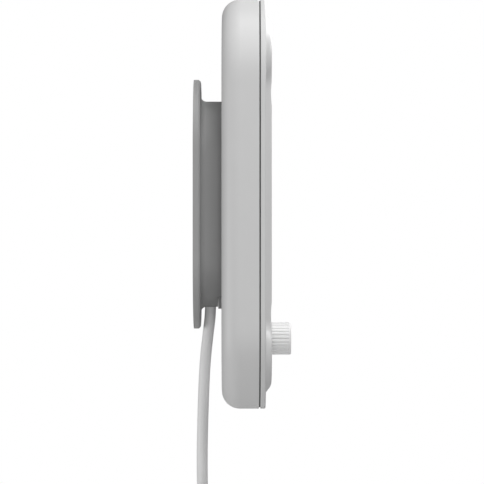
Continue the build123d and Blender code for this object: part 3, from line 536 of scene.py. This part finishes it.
# %% [markdown]
# ## Light
# The sides of the casing are brighter towards the top and darker towards the bottom, and the round edge
# at the back is a little brighter than the side. Six large soft lamps do that: a key lamp up on the
# left, one overhead, one behind, a low one that fills the side, one underneath, and one for the far
# side. The room itself is a pale sky that is brighter overhead. Where the camera looks past the
# doorbell it sees plain white.

# %% Sky
scene.view_settings.view_transform = "Standard"
scene.world = bpy.data.worlds.new("studio")
scene.world.use_nodes = True
sky = Tree(scene.world.node_tree)
sky_below, sky_above = 0.20, 0.32
direction = sky.node("ShaderNodeTexCoord", output="Generated")
height = sky.node("ShaderNodeSeparateXYZ", {}, {0: direction}, output="Z")
glow = sky_below + (height * 0.5 + 0.5) * (sky_above - sky_below)
seen = sky.node("ShaderNodeLightPath", output="Is Camera Ray")
background = sky.nodes["Background"]
sky.links.new((glow + seen * (1 - glow)).link, background.inputs["Strength"])
background.inputs["Color"].default_value = (1, 1, 1, 1)
print("sky from", sky_below, "to", sky_above)


# %% Lamps
def soft_lamp(name, spot, size, power):
    """A square soft lamp that faces the doorbell."""
    lamp = add_object(name, bpy.data.lights.new(name, "AREA"))
    lamp.data.size = size
    lamp.data.energy = power
    lamp.location = spot
    look_at(lamp, aim)


soft_lamp("key", (-0.250, -0.180, 0.330), 0.25, 0.95)
soft_lamp("overhead", (-0.060, -0.120, 0.860), 0.4, 2.4)
soft_lamp("behind", (-0.228, 0.833, -0.200), 0.4, 2.8)
soft_lamp("low_fill", (-0.880, -0.017, -0.200), 0.4, 1.7)
soft_lamp("under", (-0.150, -0.300, -0.800), 0.4, 1.0)
soft_lamp("far_side", (0.600, -0.350, 0.350), 0.5, 3.0)
print(len(bpy.data.lights), "lamps")

# %% [markdown]
# ## A finish
# A finish is a material with a few tools of its own: the place on the object, noise and waves whose
# sizes are in millimetres, a mix of two colours, a speckled grey, and a bump. What is the same all over
# a part is set on the shader itself, and only what changes over it is painted with sums.


# %% Finish maker
texture_turn = 20  # radians that a wave texture turns through in one unit


def grey(value, warmth=0.0):
    """A grey, turned slightly warm or cool."""
    return (value * (1 + warmth), value, value * (1 - warmth), 1)


class Finish(Tree):
    """A material. Constants are set on its shader by name."""

    def __init__(self, name, constants):
        self.material = bpy.data.materials.new(name)
        self.material.use_nodes = True
        super().__init__(self.material.node_tree)
        self.shader = self.nodes["Principled BSDF"]
        for socket, value in constants.items():
            self.shader.inputs[socket].default_value = value

    def paint(self, socket, value):
        self.links.new(value.link, self.shader.inputs[socket])

    def place(self):
        """The place on the object, in metres."""
        return self.node("ShaderNodeTexCoord", output="Object")

    def noise(self, size, detail=2, stretch=(1, 1, 1)):
        """Soft grain from 0 to 1, with lumps about as large as size, in millimetres."""
        where = self.node("ShaderNodeVectorMath", {"operation": "MULTIPLY"}, {0: self.place(), 1: stretch})
        settings = {"Vector": where, "Scale": 1 / (size * MM), "Detail": detail}
        return self.node("ShaderNodeTexNoise", {}, settings)

    def waves(self, pitch, **settings):
        """Even waves from 0 to 1, one to each pitch, in millimetres."""
        scale = math.tau / texture_turn / (pitch * MM)
        return self.node("ShaderNodeTexWave", settings, {"Vector": self.place(), "Scale": scale}, output=1)

    def mix(self, mask, dark, light):
        """The dark colour where the mask is 0, the light one where it is 1."""
        colours = {"Factor": mask, "A": dark, "B": light}
        return self.node("ShaderNodeMix", {"data_type": "RGBA"}, colours, output=2)

    def speckle(self, mask, value, spread, warmth=0.0):
        """Paints a grey that runs a little darker and lighter with the mask."""
        dark, light = grey(value * (1 - spread), warmth), grey(value * (1 + spread), warmth)
        self.paint("Base Color", self.mix(mask, dark, light))

    def raise_by(self, height, depth):
        """Raises the surface by a height from 0 to 1, times a depth in millimetres."""
        inputs = {"Height": height, "Distance": depth * MM, "Strength": 1.0}
        self.paint("Normal", self.node("ShaderNodeBump", {}, inputs))


print("finish tools ready")

# %% [markdown]
# ## Moulded plastic
# The casing comes out of a fine spark-eroded mould. Close up it has an even grain a fifth of a
# millimetre across, and from further off a very slight cloudiness. Noise at two sizes gives both: the
# fine one is raised as a bump and breaks up the gloss, and the coarse one shifts the colour by a
# hundredth or two.

# %% Plastics
finishes = {}
plastic_ior = 1.5
cloud_size, cloud_share = 14, 0.7  # the share that the coarse noise has in the colour
flow_size, flow_stretch = 7, (1, 1, 0.35)
skin_grain, skin_depth = 0.35, 0.0015


def moulded(name, value, roughness, grain=0.22, depth=0.006):
    """Moulded plastic with an even grain, its size and depth in millimetres."""
    finish = finishes[name] = Finish(name, {"IOR": plastic_ior})
    fine = finish.noise(grain, detail=3)
    cloud = finish.noise(cloud_size)
    finish.speckle(cloud * cloud_share + fine * (1 - cloud_share), value, spread=0.028)
    finish.paint("Roughness", roughness + (fine - 0.5) * 0.08 + (cloud - 0.5) * 0.04)
    finish.raise_by(fine, depth)


def satin(name, value, roughness, warmth=0.0):
    """Plastic from a polished mould: a smooth skin with faint flow marks."""
    finish = finishes[name] = Finish(name, {"IOR": plastic_ior})
    flow = finish.noise(flow_size, detail=3, stretch=flow_stretch)
    fine = finish.noise(skin_grain)
    finish.speckle(flow, value, spread=0.02, warmth=warmth)
    finish.paint("Roughness", roughness + (flow - 0.5) * 0.05 + (fine - 0.5) * 0.03)
    finish.raise_by(fine, skin_depth)
    return finish


moulded("shell_plastic", 0.62, 0.46)
moulded("panel_plastic", 0.70, 0.40, grain=0.18, depth=0.004)
moulded("bracket_plastic", 0.325, 0.55, grain=0.3, depth=0.012)
moulded("black_plastic", 0.03, 0.45, grain=0.2, depth=0.005)
moulded("soft_rubber", 0.055, 0.75, grain=0.35, depth=0.01)
moulded("cord_jacket", 0.80, 0.50, grain=0.4, depth=0.008)
moulded("chip_plastic", 0.04, 0.55, grain=0.12, depth=0.004)
moulded("cone_paper", 0.10, 0.7, grain=0.3, depth=0.01)
satin("knob_plastic", 0.83, 0.36)
satin("button_plastic", 0.25, 0.42)
satin("light_guide", 0.80, 0.34, warmth=-0.01)
print(len(finishes), "plastics")

# %% [markdown]
# The motion sensor looks out through a milky lens. It is a flat lens cut into rings, and the rings show
# as fine circles about its centre.

# %% Milky ring lens
ring_pitch = 0.55
motion_low, motion_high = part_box("motion_lens")
milky = satin("milky_plastic", 0.74, 0.30, warmth=0.004)
from_centre = milky.node(
    "ShaderNodeVectorMath", {"operation": "DISTANCE"},
    {0: milky.place(), 1: (motion_low + motion_high) / 2}, output="Value",
)
rings_out = from_centre * (1 / (ring_pitch * MM))
ring_slope = milky.node("ShaderNodeMath", {"operation": "FRACT"}, {0: rings_out})
milky.raise_by(ring_slope, 0.05)
print("rings every", ring_pitch, "mm")

# %% [markdown]
# ## Metals
# Plated parts are bright with fine lines where the sheet was rolled, and a slow change in gloss. The
# lines are noise that is stretched along one direction.


# %% Plated parts
line_size, line_depth = 0.25, 0.002
dull_size, dull_share = 3, 0.9


def metal(name, colour, roughness, stretch=(1, 1, 1)):
    """Bright metal whose lines run the way that its noise is stretched."""
    finish = finishes[name] = Finish(name, {"Metallic": 1.0})
    lines = finish.noise(line_size, detail=3, stretch=stretch)
    dark = [part * dull_share for part in colour]
    finish.paint("Base Color", finish.mix(finish.noise(dull_size), (*dark, 1), (*colour, 1)))
    finish.paint("Roughness", roughness - 0.05 + lines * 0.12)
    finish.raise_by(lines, line_depth)


metal("screw_steel", (0.55, 0.55, 0.56), 0.34)
metal("bright_metal", (0.72, 0.72, 0.72), 0.28, stretch=(1, 1, 0.1))
metal("gold_contact", (0.85, 0.62, 0.28), 0.25)
metal("battery_foil", (0.6, 0.6, 0.62), 0.42, stretch=(0.3, 1, 1))
print(len(finishes), "finishes with the metals")

# %% [markdown]
# ## Glass, print and film
# The camera's window is clear glass, printed black on its inner face except where the lens and the
# lamps look through. Clear glass is mostly gloss, so it is a nearly transparent dark skin with a faint
# smear.

# %% Window and print
glass = finishes["window_glass"] = Finish("window_glass", {"IOR": plastic_ior, "Alpha": 0.14})
smear = glass.noise(5, detail=3)
glass.paint("Base Color", glass.mix(smear, grey(0.02), grey(0.03)))
glass.paint("Roughness", 0.02 + smear * 0.05)

lens_glass = Finish("lens_glass", {"IOR": 1.6, "Alpha": 0.45, "Coat Weight": 1.0, "Coat Roughness": 0.02})
tint = lens_glass.noise(6, detail=1)
lens_glass.paint("Base Color", lens_glass.mix(tint, (0.02, 0.03, 0.07, 1), (0.08, 0.04, 0.10, 1)))
lens_glass.paint("Roughness", 0.03 + lens_glass.noise(2) * 0.03)

mask = finishes["mask_film"] = Finish("mask_film", {"IOR": plastic_ior})
print_grain = mask.noise(0.3)
mask.paint("Base Color", mask.mix(print_grain, grey(0.006), grey(0.012)))
mask.paint("Roughness", 0.1 + print_grain * 0.06)
print(len(finishes), "finishes with the window")

# %% [markdown]
# Behind the window are the small lamps of clear resin on their green board. The board's copper lines
# stand up a little under the lacquer, and a brick pattern with thin joints draws them. The camera's
# ribbon is amber film with tracks along it.

# %% Ribbon, lamps and board
ribbon = finishes["ribbon_film"] = Finish("ribbon_film", {"Roughness": 0.3})
tracks = ribbon.waves(1.0, bands_direction="X")
ribbon.paint("Base Color", ribbon.mix(tracks > 0.5, (0.45, 0.22, 0.05, 1), (0.62, 0.36, 0.12, 1)))

resin = finishes["led_white"] = Finish("led_white", {"Roughness": 0.2})
resin.paint("Base Color", resin.mix(resin.noise(0.8), (0.8, 0.8, 0.72, 1), (0.88, 0.88, 0.84, 1)))

board = finishes["circuit_board"] = Finish("circuit_board", {"Roughness": 0.3})
turn_flat = {"Vector": board.place(), "Angle": math.radians(90)}
flat_place = board.node("ShaderNodeVectorRotate", {"rotation_type": "X_AXIS"}, turn_flat)
copper = board.node("ShaderNodeTexBrick", {"offset": 0.37}, {
    "Vector": flat_place, "Scale": 1 / (3 * MM), "Mortar Size": 0.03,
    "Color1": grey(0), "Color2": grey(0), "Mortar": grey(1),
})
board.paint("Base Color", board.mix(copper, (0.012, 0.10, 0.045, 1), (0.03, 0.20, 0.09, 1)))
board.raise_by(copper, 0.02)
print(len(finishes), "finishes with the board")

# %% [markdown]
# ## Cloth and wire
# The strap's outer face is a felt of tiny loops that lie along and across it, so two fine noises are
# added, one drawn out each way. The cloth behind the speaker's slots is a plain weave: two sets of
# waves that cross. The two wires in the lead are told apart by colour.

# %% Strap, speaker cloth and wires
strap = finishes["strap_fabric"] = Finish("strap_fabric", {"Roughness": 0.9, "Sheen Weight": 0.4})
loops_up = strap.noise(0.2, detail=4, stretch=(1, 1, 0.3))
loops_across = strap.noise(0.2, detail=4, stretch=(0.3, 1, 1))
fibres = loops_up * 0.5 + loops_across * 0.5
strap.paint("Base Color", strap.mix(fibres, grey(0.02), grey(0.075)))
strap.raise_by(fibres, 0.12)

cloth = finishes["acoustic_mesh"] = Finish("acoustic_mesh", {"Roughness": 0.7})
weave = cloth.waves(0.3, bands_direction="X") * cloth.waves(0.3, bands_direction="Z")
cloth.paint("Base Color", cloth.mix(weave, grey(0.008), grey(0.07)))
cloth.raise_by(weave, 0.1)

wires = finishes["wire_jacket"] = Finish("wire_jacket", {"Roughness": 0.4})
across = wires.node("ShaderNodeSeparateXYZ", {}, {0: wires.place()}, output="X")
wires.paint("Base Color", wires.mix(across > 0, grey(0.02), (0.4, 0.03, 0.02, 1)))
print(len(finishes), "finishes")

# %% [markdown]
# ## The floor
# A pale round floor lies a hand's breadth below the plug. It fades out towards its rim, so that no edge
# crosses the white behind the doorbell, and it is clear from below, so that the doorbell can be looked
# at from there. It takes shadows, but it throws no light back and stops none, as a floor that is far
# below would.

# %% Floor
floor_gap, floor_radius, floor_clear = 0.06, 0.75, 0.15
floor_shape = bmesh.new()
bmesh.ops.create_circle(floor_shape, cap_ends=True, radius=floor_radius, segments=96)
floor = add_shape("floor", floor_shape)
floor.location.z = frame_low.z - floor_gap
floor.visible_diffuse = False
floor.visible_shadow = False

pale = Finish("pale_floor", {"Roughness": 0.9})
pale.paint("Base Color", pale.mix(pale.noise(60), grey(0.80), grey(0.84)))
from_middle = pale.node("ShaderNodeVectorMath", {"operation": "LENGTH"}, {0: pale.place()}, output="Value")
fade = {
    "Value": from_middle, "From Min": floor_clear, "From Max": floor_radius, "To Min": 1.0, "To Max": 0.0,
}
solid = pale.node("ShaderNodeMapRange", {"interpolation_type": "SMOOTHSTEP"}, fade)
underside = pale.node("ShaderNodeNewGeometry", output="Backfacing")
pale.paint("Alpha", solid * (1 - underside))
floor.data.materials.append(pale.material)
print("floor", floor_radius, "m in radius")

# %% [markdown]
# ## Giving each part its finish
# The frame's record says which finish each part takes, and the finish goes into the part's own material
# slot. One part differs from the rest of its kind: the lens's front glass is coated.


# %% Assign finishes
def dress(thing, finish):
    thing.data.materials.clear()
    thing.data.materials.append(finish.material)


for entry in frame["record"]["subparts"]:
    dress(nodes[entry["node"]], finishes[entry["material_slot"]])
for piece in (power_lead, coil_strap, plug_grip, plug_contacts, tab_springs, lens_baffle):
    dress(piece, finishes[piece["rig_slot"]])
dress(nodes["front_element"], lens_glass)
